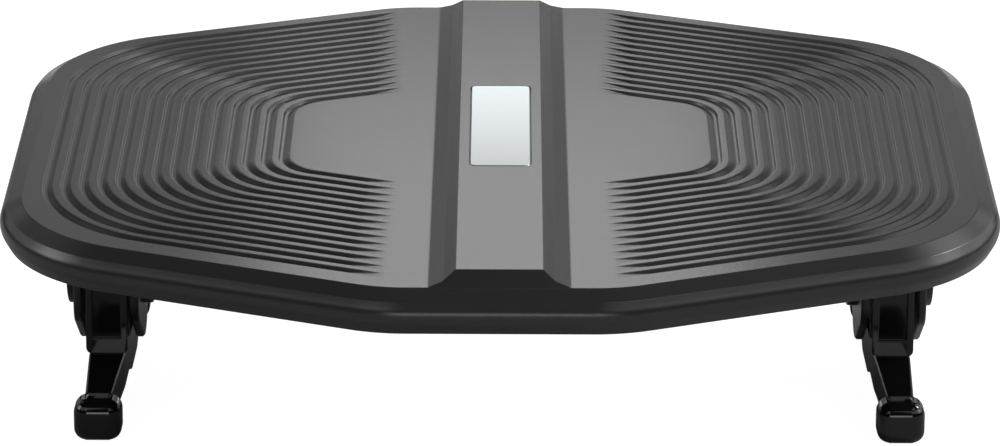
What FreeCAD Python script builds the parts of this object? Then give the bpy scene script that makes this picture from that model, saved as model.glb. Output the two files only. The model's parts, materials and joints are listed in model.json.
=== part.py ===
import FreeCAD, Part
import math
import os
import Sketcher

V = FreeCAD.Vector
X_AXIS = V(1, 0, 0)
Y_AXIS = V(0, 1, 0)
Z_AXIS = V(0, 0, 1)

doc = FreeCAD.newDocument("Footrest")
sheet = doc.addObject("Spreadsheet::Sheet", "Sheet")

# Everything is in millimetres and degrees.
# The origin is on the floor under the middle of the whole rest, which faces -y.
# The tilt axis runs along x, a little behind the origin because the deck leans forward.
VALUES = [
    ("rest_tilt", 5),
    ("tilt_up", 15),
    ("tilt_down", 10),
    ("pivot_height", 59),
    ("deck_drop", 57.9),
    ("axis_set_back", 4.11),
    ("leg_x", 180.2),
    ("edge_half_x", 213.2),
    ("edge_half_y", 184.5),
    ("edge_slant", 190.65),
    ("slant_angle", 21),
    ("corner_radius", 70),
    ("front_radius", 60),
    ("crest_reach", 6.8),
    ("crest_low", 3.85),
    ("crest_radius", 1.3),
    ("side_reach", 10),
    ("side_top", 7.9),
    ("side_bottom", 12.8),
    ("side_radius", 7.7),
    ("skirt_depth", 18.6),
    ("skirt_tuck", 3.2),
    ("wall", 2.8),
    ("rim_wall", 2),
    ("cavity_slope_width", 4.6),
    ("cavity_slope_height", 2.6),
    ("top_edge_radius", 1.2),
    ("edge_chamfer", 0.8),
    ("hump_height", 6),
    ("hump_top_half", 18.8),
    ("hump_knee_half", 24.2),
    ("hump_knee_height", 2.1),
    ("hump_foot_half", 30.5),
    ("tread_half_x", 205.1),
    ("tread_slant", 181.7),
    ("tread_shift", 2.1),
    ("tread_radius", 76),
    ("groove_pitch", 8),
    ("groove_count", 14),
    ("groove_depth", 0.8),
    ("groove_wall", 0.8),
    ("groove_floor", 3.6),
    ("fade_start", 49),
    ("fade_skew", 7),
    ("fade_length", 24),
    ("badge_width", 27.2),
    ("badge_length", 106),
    ("badge_radius", 2.6),
    ("badge_thickness", 1.1),
    ("tape_thickness", 0.3),
    ("badge_pocket", 1.3),
    ("badge_gap", 0.3),
    ("rib_width", 2),
    ("rib_depth", 8),
    ("boss_size", 10),
    ("boss_low", 9),
    ("plate_thickness", 3.6),
    ("plate_width", 62),
    ("plate_length", 118),
    ("cheek_gap", 22.2),
    ("cheek_thickness", 3.8),
    ("cheek_half", 40),
    ("cheek_shoulder", 17),
    ("cheek_shoulder_radius", 12),
    ("cheek_point", 44.6),
    ("cheek_radius", 19.5),
    ("screw_x", 23),
    ("screw_y", 46),
    ("screw_size", 4),
    ("screw_hole", 4.4),
    ("screw_head", 8),
    ("screw_head_height", 2.6),
    ("screw_length", 9.5),
    ("pilot_hole", 4.04),
    ("gusset_thickness", 3),
    ("bolt_size", 6),
    ("bolt_bore", 6.1),
    ("hex_flats", 10),
    ("hex_head", 3.1),
    ("nut_height", 3.2),
    ("nut_bore", 6.04),
    ("cap_size", 46),
    ("cap_thickness", 4.6),
    ("cap_recess", 14),
    ("cap_recess_depth", 3.5),
    ("cap_pin", 3),
    ("cap_pin_hole", 3.1),
    ("cap_pin_circle", 17.5),
    ("upright_width", 19),
    ("head_radius", 38),
    ("seat_height", 22),
    ("bushing_size", 10),
    ("bushing_seat", 10.04),
    ("washer_size", 34),
    ("washer_gap", 0.05),
    ("stop_size", 5),
    ("stop_hole", 5.04),
    ("stop_radius", 28),
    ("stop_slot", 5.8),
    ("foot_screw_y", 24),
    ("foot_screw_length", 21),
    ("foot_screw_seat", 12),
    ("foot_screw_bore", 8.6),
    ("skid_end", 98),
    ("skid_low", 0.3),
    ("toe_width", 21.4),
    ("toe_height", 18.7),
    ("toe_length", 14),
    ("toe_radius", 6.4),
    ("toe_sole_radius", 5.2),
    ("bar_width", 16.4),
    ("pad_y", 88.6),
    ("pad_width", 10.4),
    ("pad_length", 7),
    ("pad_height", 2.4),
    ("pad_recess_width", 10.6),
    ("pad_recess_length", 7.2),
]


def fill_sheet():
    for row, (name, value) in enumerate(VALUES, start=1):
        sheet.set("A%d" % row, name)
        sheet.set("B%d" % row, str(value))
        sheet.setAlias("B%d" % row, name)
    doc.recompute()


def val(name):
    return float(sheet.get(name))


fill_sheet()
SLANT = math.radians(val("slant_angle"))


def outline_edges(half_x, slant, half_y, corner, blend):
    """Edges of the eight sided plan, symmetric about both axes, going round from the right side."""
    mid = math.degrees(math.pi / 2 - SLANT)
    cy = (slant - corner - (half_x - corner) * math.sin(SLANT)) / math.cos(SLANT)
    bx = (slant - blend - (half_y - blend) * math.cos(SLANT)) / math.sin(SLANT)
    side = V(half_x - corner, cy, 0)
    front = V(bx, half_y - blend, 0)
    normal = V(math.sin(SLANT), math.cos(SLANT), 0)
    quarter = [
        ("arc", side, corner, 0, mid),
        ("line", side + normal * corner, front + normal * blend),
        ("arc", front, blend, mid, 90),
        ("line", V(bx, half_y, 0), V(-bx, half_y, 0)),
    ]
    edges = []
    for turn in (0, 1):
        edges += half_outline(quarter, turn * 180, cy, half_x)
    return edges


def half_outline(quarter, angle, cy, half_x):
    items = [arc_or_line(item) for item in quarter[:3]]
    items.append(arc_or_line(quarter[3]))
    for item in (quarter[2], quarter[1], quarter[0]):
        items.append(mirrored(item))
    items.append(Part.LineSegment(V(-half_x, cy, 0), V(-half_x, -cy, 0)))
    turned = []
    for item in items:
        copy = item.copy()
        copy.rotate(FreeCAD.Placement(V(0, 0, 0), FreeCAD.Rotation(Z_AXIS, angle)))
        turned.append(copy)
    return turned


def arc_or_line(item):
    if item[0] == "line":
        return Part.LineSegment(item[1], item[2])
    circle = Part.Circle(item[1], Z_AXIS, item[2])
    return Part.ArcOfCircle(circle, math.radians(item[3]), math.radians(item[4]))


def mirrored(item):
    if item[0] == "line":
        a = V(-item[2].x, item[2].y, 0)
        b = V(-item[1].x, item[1].y, 0)
        return Part.LineSegment(a, b)
    centre = V(-item[1].x, item[1].y, 0)
    circle = Part.Circle(centre, Z_AXIS, item[2])
    return Part.ArcOfCircle(circle, math.radians(180 - item[4]), math.radians(180 - item[3]))


def new_body(name):
    body = doc.addObject("PartDesign::Body", name)
    body.Label = name
    return body


def origin_plane(body, role):
    for item in body.Origin.OriginFeatures:
        if item.Role == role:
            return item
    raise RuntimeError("no plane " + role)


def new_sketch(body, name, role, height=None):
    sketch = body.newObject("Sketcher::SketchObject", name)
    sketch.AttachmentSupport = (origin_plane(body, role), [""])
    sketch.MapMode = "FlatFace"
    if height is not None:
        sketch.setExpression(".AttachmentOffset.Base.z", height)
    return sketch


def add_circle(sketch, x, y, size):
    """Circle whose diameter follows a named value."""
    index = sketch.addGeometry(Part.Circle(V(x, y, 0), Z_AXIS, val(size) / 2), False)
    mark = sketch.addConstraint(Sketcher.Constraint("Diameter", index, val(size)))
    sketch.setExpression("Constraints[%d]" % mark, "Sheet." + size)
    return index


def add_hexagon(sketch, x, y, flats):
    reach = flats / math.sqrt(3)
    turns = [math.radians(60 * i) for i in range(6)]
    return add_polygon(sketch, [(x + reach * math.cos(a), y + reach * math.sin(a)) for a in turns])


def add_polygon(sketch, points):
    count = len(points)
    first = sketch.GeometryCount
    for i in range(count):
        a = V(points[i][0], points[i][1], 0)
        b = V(points[(i + 1) % count][0], points[(i + 1) % count][1], 0)
        sketch.addGeometry(Part.LineSegment(a, b), False)
    for i in range(count):
        sketch.addConstraint(
            Sketcher.Constraint("Coincident", first + i, 2, first + (i + 1) % count, 1)
        )
    return first


def add_box(sketch, cx, cy, width, length):
    """Rectangle about a centre, its sides following two named values."""
    w = val(width) / 2
    h = val(length) / 2
    first = add_polygon(sketch, [(cx - w, cy - h), (cx + w, cy - h), (cx + w, cy + h), (cx - w, cy + h)])
    for i, kind in enumerate(("Horizontal", "Vertical", "Horizontal", "Vertical")):
        sketch.addConstraint(Sketcher.Constraint(kind, first + i))
    for i, name in ((0, width), (1, length)):
        mark = sketch.addConstraint(Sketcher.Constraint("Distance", first + i, val(name)))
        sketch.setExpression("Constraints[%d]" % mark, "Sheet." + name)
    return first


def add_rounded(sketch, corners):
    """Closed outline from (x, y, radius) corners, rounded where the radius is not zero."""
    count = len(corners)
    ends = []
    for i in range(count):
        here = V(corners[i][0], corners[i][1], 0)
        to_last = unit(V(corners[i - 1][0], corners[i - 1][1], 0) - here)
        to_next = unit(V(corners[(i + 1) % count][0], corners[(i + 1) % count][1], 0) - here)
        half = to_last.getAngle(to_next) / 2
        reach = corners[i][2] / math.tan(half)
        ends.append((here + to_last * reach, here + to_next * reach))
        if reach > 0:
            deep = corners[i][2] / math.sin(half) - corners[i][2]
            middle = here + unit(to_last + to_next) * deep
            sketch.addGeometry(Part.Arc(ends[i][0], middle, ends[i][1]), False)
    for i in range(count):
        sketch.addGeometry(Part.LineSegment(ends[i][1], ends[(i + 1) % count][0]), False)


def unit(vector):
    return vector / vector.Length


def add_round_box(sketch, cx, cy, width, length, radius):
    """Rectangle with four equal rounded corners."""
    w = width / 2
    h = length / 2
    add_rounded(sketch, [(cx + w, cy + h, radius), (cx - w, cy + h, radius),
                         (cx - w, cy - h, radius), (cx + w, cy - h, radius)])


def pad(body, name, sketch, length, midplane=False, reverse=False):
    feature = body.newObject("PartDesign::Pad", name)
    feature.Profile = sketch
    feature.setExpression("Length", length)
    feature.Midplane = midplane
    feature.Reversed = reverse
    sketch.Visibility = False
    return feature


def pocket(body, name, sketch, length=None, midplane=False, reverse=False):
    feature = body.newObject("PartDesign::Pocket", name)
    feature.Profile = sketch
    if length is None:
        feature.Type = "ThroughAll"
    else:
        feature.setExpression("Length", length)
    feature.Midplane = midplane
    feature.Reversed = reverse
    sketch.Visibility = False
    return feature


def revolve(body, name, role, points):
    """Full turn of a closed profile about the vertical axis of its sketch."""
    sketch = new_sketch(body, name + "_profile", role)
    add_polygon(sketch, points)
    feature = body.newObject("PartDesign::Revolution", name)
    feature.Profile = sketch
    feature.ReferenceAxis = (sketch, ["V_Axis"])
    feature.Angle = 360
    sketch.Visibility = False
    return feature


def mirror(body, name, features, role):
    feature = body.newObject("PartDesign::Mirrored", name)
    feature.Originals = features
    feature.MirrorPlane = (origin_plane(body, role), [""])
    body.Tip = feature
    return feature


def dress(body, name, kind, base, edges, size_property, size):
    feature = body.newObject("PartDesign::" + kind, name)
    feature.Base = (base, edges)
    feature.setExpression(size_property, size)
    body.Tip = feature
    return feature


def bevel_edges(body, name, base, edges, size, other):
    """Chamfer with one distance on the upright side of each edge and another on the flat side."""
    feature = dress(body, name, "Chamfer", base, edges, "Size", size)
    feature.ChamferType = "Two distances"
    feature.setExpression("Size2", other)
    doc.recompute()
    return feature


def pick_edges(feature, test):
    names = []
    for i, edge in enumerate(feature.Shape.Edges, start=1):
        if test(edge):
            names.append("Edge%d" % i)
    return names


def flat_at(edge, height, tolerance=0.01):
    box = edge.BoundBox
    return abs(box.ZMin - height) < tolerance and abs(box.ZMax - height) < tolerance


def section_sketch(body, name, offset, height):
    """Deck plan grown outwards by an offset, at a height given as a sheet expression."""
    sketch = new_sketch(body, name, "XY_Plane", height)
    edges = outline_edges(
        val("edge_half_x") + offset,
        val("edge_slant") + offset,
        val("edge_half_y") + offset,
        val("corner_radius") + offset,
        val("front_radius") + offset,
    )
    sketch.addGeometry(edges, False)
    return sketch


def hump_profile(inset):
    """Half profile of the middle rib from the top edge down to the flat."""
    top = val("hump_height") - inset
    return [
        (val("hump_top_half") - inset * 0.8, top),
        (val("hump_knee_half") - inset * 0.6, val("hump_knee_height") - inset),
        (val("hump_foot_half") - inset * 0.4, -inset),
    ]


def build_deck_outside():
    """Deck without its grooves: a shallow bevel to a crest, then a side that bulges and tucks in."""
    body = new_body("deck_outside")
    plan = section_sketch(body, "side_plan", val("side_reach"), "-Sheet.skirt_depth")
    block = pad(body, "deck_block", plan, "Sheet.skirt_depth")
    doc.recompute()
    run = "((Sheet.side_reach - Sheet.crest_reach) / (Sheet.side_top - Sheet.crest_low))"
    rim = pick_edges(block, lambda e: flat_at(e, 0))
    slope = bevel_edges(body, "upper_side", block, rim, "Sheet.side_top", "Sheet.side_top * " + run)
    rim = pick_edges(slope, lambda e: flat_at(e, 0))
    top = bevel_edges(body, "top_bevel", slope, rim,
                      "Sheet.crest_low * sqrt(1 + %s ^ 2)" % run,
                      "Sheet.crest_reach - Sheet.crest_low * " + run)
    hem = pick_edges(top, lambda e: flat_at(e, -val("skirt_depth")))
    tuck = bevel_edges(body, "lower_side", top, hem, "Sheet.skirt_depth - Sheet.side_bottom", "Sheet.skirt_tuck")
    bulge = pick_edges(tuck, lambda e: flat_at(e, -val("side_top")) or flat_at(e, -val("side_bottom")))
    side = dress(body, "round_side", "Fillet", tuck, bulge, "Radius", "Sheet.side_radius")
    doc.recompute()
    crest = pick_edges(side, lambda e: flat_at(e, -val("crest_low")))
    dress(body, "soft_crest", "Fillet", side, crest, "Radius", "Sheet.crest_radius")
    doc.recompute()
    add_hump(body)
    return body


def add_hump(body):
    sketch = new_sketch(body, "hump_profile", "XZ_Plane")
    right = hump_profile(0)
    right.append((val("hump_foot_half"), -1))
    left = [(-x, z) for x, z in reversed(right)]
    add_polygon(sketch, right + left)
    hump = pad(body, "hump", sketch, "2 * Sheet.edge_half_y", midplane=True)
    doc.recompute()
    ends = new_sketch(body, "hump_end_cut", "YZ_Plane")
    y = val("edge_half_y")
    h = val("hump_height")
    for side in (-1, 1):
        add_polygon(ends, [(side * y, 0), (side * (y - h - 1), h + 1), (side * (y + 9), h + 1), (side * (y + 9), 0)])
    cut = pocket(body, "hump_ends", ends, "4 * Sheet.hump_foot_half", midplane=True)
    doc.recompute()
    lip = pick_edges(cut, is_lip_edge)
    dress(body, "soft_lip", "Fillet", cut, lip, "Radius", "Sheet.top_edge_radius")
    recess = new_sketch(body, "badge_recess_plan", "XY_Plane", "Sheet.hump_height")
    gap = val("badge_gap")
    add_round_box(recess, 0, 0, val("badge_width") + 2 * gap, val("badge_length") + 2 * gap,
                  val("badge_radius") + gap)
    pocket(body, "badge_recess", recess, "Sheet.badge_pocket")
    doc.recompute()


def is_lip_edge(edge):
    """Edges where the deck top, the rib top and the rib sides break over."""
    box = edge.BoundBox
    if box.ZMin < -0.01:
        return False
    at_rim = max(abs(box.YMin), abs(box.YMax)) > val("edge_half_y") - val("hump_height") - 0.1
    at_side = max(abs(box.XMin), abs(box.XMax)) > val("hump_foot_half") + 1
    on_top = box.ZMin > val("hump_height") - 0.01
    return at_rim and not flat_along_y(edge) or at_side or on_top


def flat_along_y(edge):
    box = edge.BoundBox
    return box.YMax - box.YMin > 2 * val("edge_half_y") - 20 and box.ZMax < val("hump_height") - 0.01


def build_deck_hollow():
    body = new_body("deck_hollow")
    """Space under the deck, with straight sides and a hollow for the middle rib."""
    wall = val("wall")
    reach = val("side_reach") - val("skirt_tuck") - val("rim_wall")
    plan = section_sketch(body, "cavity_plan", reach, "-Sheet.skirt_depth - 1")
    block = pad(body, "cavity_block", plan, "Sheet.skirt_depth - Sheet.wall + 1")
    doc.recompute()
    roof = pick_edges(block, lambda e: flat_at(e, -wall))
    bevel_edges(body, "cavity_slope", block, roof, "Sheet.cavity_slope_height", "Sheet.cavity_slope_width")
    hollow = new_sketch(body, "hump_hollow_profile", "XZ_Plane")
    right = hump_profile(wall)
    right.append((right[-1][0], -wall - 1))
    left = [(-x, z) for x, z in reversed(right)]
    add_polygon(hollow, right + left)
    pad(body, "hump_hollow", hollow, "2 * Sheet.edge_half_y - 8 * Sheet.wall", midplane=True)
    doc.recompute()
    return body


def tread_curve(inset, step, z):
    """Line, corner, side, corner, line: a groove's outer edge at an inset, moved in by a step."""
    half_x = val("tread_half_x") - inset - step
    slant = val("tread_slant") - inset - step
    corner = val("tread_radius") - inset / 2 - step
    cy = (slant - corner - (half_x - corner) * math.sin(SLANT)) / math.cos(SLANT)
    centre = V(half_x - corner, cy, z)
    normal = V(math.sin(SLANT), math.cos(SLANT), 0)
    along = centre + normal * corner
    end = V(TREAD_END, (slant - TREAD_END * math.sin(SLANT)) / math.cos(SLANT), z)
    middle = centre + V(math.cos(CORNER_TURN / 2), math.sin(CORNER_TURN / 2), 0) * corner
    side = V(half_x, cy, z)
    low = [V(p.x, -p.y, p.z) for p in (side, middle, along, end)]
    return [
        Part.LineSegment(end, along).toShape(),
        Part.Arc(along, middle, side).toShape(),
        Part.LineSegment(side, low[0]).toShape(),
        Part.Arc(low[0], low[1], low[2]).toShape(),
        Part.LineSegment(low[2], low[3]).toShape(),
    ]


def tread_profile():
    """Inset, step and height of every break line of the lapped grooves, outermost first."""
    depth = -val("groove_depth")
    pitch = val("groove_pitch")
    count = int(val("groove_count"))
    points = [(0, -1, 1), (0, 0, 0)]
    for i in range(count):
        points.append((i * pitch, val("groove_wall"), depth))
        points.append((i * pitch, val("groove_floor"), depth))
        points.append(((i + 1) * pitch, 0, CREST_DROP))
    points[-1] = (count * pitch, 0.5, 0.09)
    points.append((count * pitch, 0.5, 1))
    return points


def tread_solid():
    """Everything the grooves take out of the right half of the deck."""
    profile = tread_profile()
    curves = [tread_curve(*point) for point in profile]
    faces = [ring_face(curves[0], curves[-1])]
    for i in range(len(curves) - 1):
        if profile[i][2] == profile[i + 1][2]:
            faces.append(ring_face(curves[i], curves[i + 1]))
        else:
            faces += [strip(a, b) for a, b in zip(curves[i], curves[i + 1])]
    faces.append(polygon_face([first_point(curve[0]) for curve in curves]))
    faces.append(polygon_face([last_point(curve[4]) for curve in curves]))
    return closed_solid(faces)


def closed_solid(faces):
    shell = Part.Shell(faces)
    shell.sewShape()
    solid = Part.Solid(shell)
    if solid.Volume < 0:
        solid.reverse()
    return solid


def first_point(edge):
    return edge.valueAt(edge.FirstParameter)


def last_point(edge):
    return edge.valueAt(edge.LastParameter)


def strip(a, b):
    """Face between two matching edges of neighbouring curves."""
    if isinstance(a.Curve, Part.Line):
        return polygon_face([first_point(a), last_point(a), last_point(b), first_point(b)])
    shift = a.Curve.Center - b.Curve.Center
    if math.hypot(shift.x, shift.y) < 0.001:
        across = Part.makeLine(first_point(a), first_point(b))
        return across.revolve(a.Curve.Center, V(0, 0, -1), math.degrees(CORNER_TURN))
    return Part.makeRuledSurface(a, b)


def ring_face(outer, inner):
    """Flat face between two curves at one height."""
    caps = [Part.makeLine(first_point(outer[0]), first_point(inner[0])),
            Part.makeLine(last_point(outer[4]), last_point(inner[4]))]
    return Part.Face(Part.Wire(Part.__sortEdges__(outer + inner + caps)))


def polygon_face(points):
    return Part.Face(Part.makePolygon(points + points[:1]))


def fade_block():
    """Space above the sloping plane on which the grooves run out towards the middle rib."""
    halves = []
    for sign in (1, -1):
        inner = fade_section(0, 0)
        outer = fade_section(sign * 200, val("fade_skew"))
        faces = [polygon_face(inner), polygon_face(outer)]
        for i in range(4):
            j = (i + 1) % 4
            faces.append(polygon_face([inner[i], inner[j], outer[j], outer[i]]))
        halves.append(closed_solid(faces))
    return halves[0].fuse(halves[1])


def fade_section(y, shift):
    rate = val("groove_depth") / val("fade_length")
    start = val("fade_start") + shift
    x0 = TREAD_END - 8 + shift
    x1 = val("tread_half_x") + 20 + shift
    return [V(x0, y, (start - x0) * rate), V(x1, y, (start - x1) * rate), V(x1, y, 2), V(x0, y, 2)]


TREAD_END = 40
CREST_DROP = -0.04
CORNER_TURN = math.pi / 2 - SLANT


def build_treads():
    right = doc.addObject("Part::Feature", "treads_right")
    right.Shape = tread_solid().common(fade_block())
    right.setExpression("Placement.Base.y", "Sheet.tread_shift")
    left = mirrored_copy("treads_left", right)
    return [right, left]


def mirrored_copy(name, source, normal=X_AXIS):
    feature = doc.addObject("Part::Mirroring", name)
    feature.Label = name
    feature.Source = source
    feature.Normal = normal
    return feature


def block(name, size, centre, low):
    """Box from three sizes, placed by the middle of its base."""
    box = doc.addObject("Part::Box", name)
    box.Length, box.Width, box.Height = size
    box.Placement.Base = V(centre[0] - size[0] / 2, centre[1] - size[1] / 2, low)
    return box


def build_ribs():
    """Stiffening grid under the deck, kept clear of the two bracket plates."""
    low = -val("wall") - val("rib_depth")
    tall = val("rib_depth") + 8
    wide = val("rib_width")
    parts = []
    for i, y in enumerate((75, 110, 150)):
        for sign in (-1, 1):
            parts.append(block("rib_x_%d_%d" % (i, sign + 1), (460, wide, tall), (0, sign * y), low))
    for sign in (-1, 1):
        parts.append(block("rib_mid_%d" % (sign + 1), (292, wide, tall), (0, sign * 25), low))
    for i, x in enumerate((30, 65, 105, 145)):
        for sign in (-1, 1):
            parts.append(block("rib_y_%d_%d" % (i, sign + 1), (wide, 400, tall), (sign * x, 0), low))
    for i, x in enumerate((-180, 180)):
        for sign in (-1, 1):
            parts.append(block("rib_end_%d_%d" % (i, sign + 1), (wide, 140, tall), (x, sign * 132), low))
    return parts


def build_bosses(name, size, low, top):
    """Eight upright pins on the bracket screw centres, from one height to another."""
    parts = []
    for side in (-1, 1):
        for sx in (-1, 1):
            for sy in (-1, 1):
                pin = doc.addObject("Part::Cylinder", "%s_%d" % (name, len(parts)))
                pin.setExpression("Radius", "Sheet.%s / 2" % size)
                pin.Height = top - low
                x = side * val("leg_x") + sx * val("screw_x")
                pin.Placement.Base = V(x, sy * val("screw_y"), low)
                parts.append(pin)
    return parts


def fuse(name, parts):
    feature = doc.addObject("Part::MultiFuse", name)
    feature.Shapes = parts
    return feature


def cut(name, base, tool):
    feature = doc.addObject("Part::Cut", name)
    feature.Base = base
    feature.Tool = tool
    return feature


def on_deck(feature):
    """Place a feature drawn in the deck frame: z = 0 is the flat of the deck."""
    feature.Placement = FreeCAD.Placement(V(0, 0, 1), FreeCAD.Rotation(X_AXIS, val("rest_tilt")))
    feature.setExpression("Placement.Base.y", "Sheet.axis_set_back - Sheet.deck_drop * sin(Sheet.rest_tilt)")
    feature.setExpression("Placement.Base.z", "Sheet.pivot_height + Sheet.deck_drop * cos(Sheet.rest_tilt)")
    feature.setExpression("Placement.Rotation.Angle", "Sheet.rest_tilt")


def on_pivot(feature):
    """Place a feature drawn about the right tilt axis and tilted with the deck."""
    feature.Placement = FreeCAD.Placement(V(0, 0, 1), FreeCAD.Rotation(X_AXIS, val("rest_tilt")))
    feature.setExpression("Placement.Base.x", "Sheet.leg_x")
    feature.setExpression("Placement.Base.y", "Sheet.axis_set_back")
    feature.setExpression("Placement.Base.z", "Sheet.pivot_height")
    feature.setExpression("Placement.Rotation.Angle", "Sheet.rest_tilt")


def on_floor(feature):
    """Place a feature drawn about the right leg, with z = 0 on the floor."""
    feature.setExpression("Placement.Base.x", "Sheet.leg_x")
    feature.setExpression("Placement.Base.y", "Sheet.axis_set_back")


def build_deck():
    outside = build_deck_outside()
    hollow = build_deck_hollow()
    solid = build_ribs() + build_bosses("boss", "boss_size", -val("boss_low"), 8)
    space = cut("deck_space", hollow, fuse("ribs_and_bosses", solid))
    pilots = build_bosses("pilot", "pilot_hole", -val("boss_low") - 1, -val("wall") - 0.1)
    body = outside
    tools = build_treads() + [space, fuse("pilot_holes", pilots)]
    for i, tool in enumerate(tools):
        body = cut("deck_stage_%d" % i, body, tool)
    body.Label = "deck_tray"
    on_deck(body)
    return body


def build_badge():
    """Plain plate let into the middle rib, with its adhesive tape below it."""
    plate = new_body("badge_plate")
    low = "Sheet.hump_height - Sheet.badge_pocket + Sheet.tape_thickness"
    plan = new_sketch(plate, "badge_plan", "XY_Plane", low)
    add_round_box(plan, 0, 0, val("badge_width"), val("badge_length"), val("badge_radius"))
    face = pad(plate, "badge_pad", plan, "Sheet.badge_thickness")
    doc.recompute()
    top = val("hump_height") - val("badge_pocket") + val("tape_thickness") + val("badge_thickness")
    rim = pick_edges(face, lambda e: flat_at(e, top))
    dress(plate, "badge_edge", "Chamfer", face, rim, "Size", "Sheet.tape_thickness")
    on_deck(plate)
    tape = new_body("badge_tape")
    plan = new_sketch(tape, "tape_plan", "XY_Plane", "Sheet.hump_height - Sheet.badge_pocket")
    add_round_box(plan, 0, 0, val("badge_width") - 3, val("badge_length") - 3, 1)
    pad(tape, "tape_pad", plan, "Sheet.tape_thickness")
    on_deck(tape)
    return [plate, tape]


def cheek_outline(sketch):
    """Straight sides down from the plate, then a taper to a rounded point below the tilt axis."""
    reach = val("cheek_half")
    top = val("deck_drop") - val("boss_low") - val("plate_thickness") / 2
    shoulder = -val("cheek_shoulder")
    soft = val("cheek_shoulder_radius")
    add_rounded(sketch, [(reach, top, 0), (-reach, top, 0), (-reach, shoulder, soft),
                         (0, -val("cheek_point"), val("cheek_radius")), (reach, shoulder, soft)])
    add_circle(sketch, 0, 0, "bolt_bore")
    add_circle(sketch, 0, val("stop_radius"), "stop_hole")
    for y, z in cap_pin_centres():
        add_circle(sketch, y, z, "cap_pin_hole")


def cap_pin_centres():
    turns = [math.radians(angle) for angle in (-30, 90, 210)]
    reach = val("cap_pin_circle")
    return [(reach * math.cos(a), reach * math.sin(a)) for a in turns]


def build_bracket():
    """Fork under the deck: a screwed plate, two cheeks and four gussets."""
    body = new_body("bracket_right")
    plan = new_sketch(body, "plate_plan", "XY_Plane",
                      "Sheet.deck_drop - Sheet.boss_low - Sheet.plate_thickness")
    add_round_box(plan, 0, 0, val("plate_width"), val("plate_length"), 6)
    for x, y in quarter_points(val("screw_x"), val("screw_y")):
        add_circle(plan, x, y, "screw_hole")
    pad(body, "plate", plan, "Sheet.plate_thickness")
    outer = new_sketch(body, "outer_cheek_plan", "YZ_Plane", "Sheet.cheek_gap / 2")
    cheek_outline(outer)
    pad(body, "outer_cheek", outer, "Sheet.cheek_thickness")
    inner = new_sketch(body, "inner_cheek_plan", "YZ_Plane", "-Sheet.cheek_gap / 2")
    cheek_outline(inner)
    pad(body, "inner_cheek", inner, "Sheet.cheek_thickness", reverse=True)
    web = new_sketch(body, "gusset_profile", "XZ_Plane", "-34")
    inside = (val("cheek_gap") + val("cheek_thickness")) / 2 + 1
    high = val("deck_drop") - val("boss_low") - val("plate_thickness") / 2
    add_polygon(web, [(inside, high), (28, high), (28, high - 3), (inside + 2, 24), (inside, 24)])
    gusset = pad(body, "gusset", web, "Sheet.gusset_thickness", midplane=True)
    pair = body.newObject("PartDesign::MultiTransform", "gussets")
    pair.Originals = [gusset]
    steps = []
    for role in ("YZ_Plane", "XZ_Plane"):
        step = body.newObject("PartDesign::Mirrored", "gusset_over_" + role[:2])
        step.MirrorPlane = (origin_plane(body, role), [""])
        steps.append(step)
    pair.Transformations = steps
    body.Tip = pair
    doc.recompute()
    soft = pick_edges(pair, is_cheek_rim)
    dress(body, "soft_cheeks", "Chamfer", pair, soft, "Size", "Sheet.edge_chamfer")
    on_pivot(body)
    return body


def quarter_points(x, y):
    return [(x, y), (-x, y), (-x, -y), (x, -y)]


def is_cheek_rim(edge):
    """Tapered lower edges of both cheeks."""
    return edge.BoundBox.XLength < 0.01 and edge.BoundBox.ZMin < -val("cheek_shoulder")


def screw_body(name, length):
    """Pan head screw, head down, seated at z = 0, with a cross recess."""
    body = new_body(name)
    head = val("screw_head") / 2
    thick = val("screw_head_height")
    shank = val("screw_size") / 2
    tip = val(length)
    points = [(0, -thick), (head - 1.3, -thick), (head, -thick + 1.3), (head, 0), (shank, 0),
              (shank, tip), (0, tip)]
    revolve(body, name + "_turned", "XZ_Plane", points)
    drive = new_sketch(body, name + "_drive", "XY_Plane", "-Sheet.screw_head_height")
    a = 0.45
    b = 1.9
    star = [(a, a), (b, a), (b, -a), (a, -a), (a, -b), (-a, -b), (-a, -a), (-b, -a),
            (-b, a), (-a, a), (-a, b), (a, b)]
    add_polygon(drive, star)
    pocket(body, name + "_recess", drive, "Sheet.screw_head_height / 2", reverse=True)
    return body


def group(name, label, parts):
    feature = doc.addObject("Part::Compound", name)
    feature.Label = label
    feature.Links = parts
    return feature


def build_bracket_screws():
    body = screw_body("bracket_screw", "screw_length")
    body.setExpression("Placement.Base.x", "Sheet.screw_x")
    body.setExpression("Placement.Base.y", "Sheet.screw_y")
    body.setExpression("Placement.Base.z", "Sheet.deck_drop - Sheet.boss_low - Sheet.plate_thickness")
    across = mirrored_copy("bracket_screw_across", body)
    pair = [body, across]
    back = [mirrored_copy("bracket_screw_back_%d" % i, item, Y_AXIS) for i, item in enumerate(pair)]
    screws = group("bracket_screws", "bracket_screws_right", pair + back)
    on_pivot(screws)
    return screws


def side_disc(body, name, x, size):
    """Sketch of one circle across the tilt axis, at a distance given as an expression."""
    sketch = new_sketch(body, name, "YZ_Plane", x)
    add_circle(sketch, 0, 0, size)
    return sketch


OUTER_FACE = "Sheet.cheek_gap / 2 + Sheet.cheek_thickness"


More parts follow.
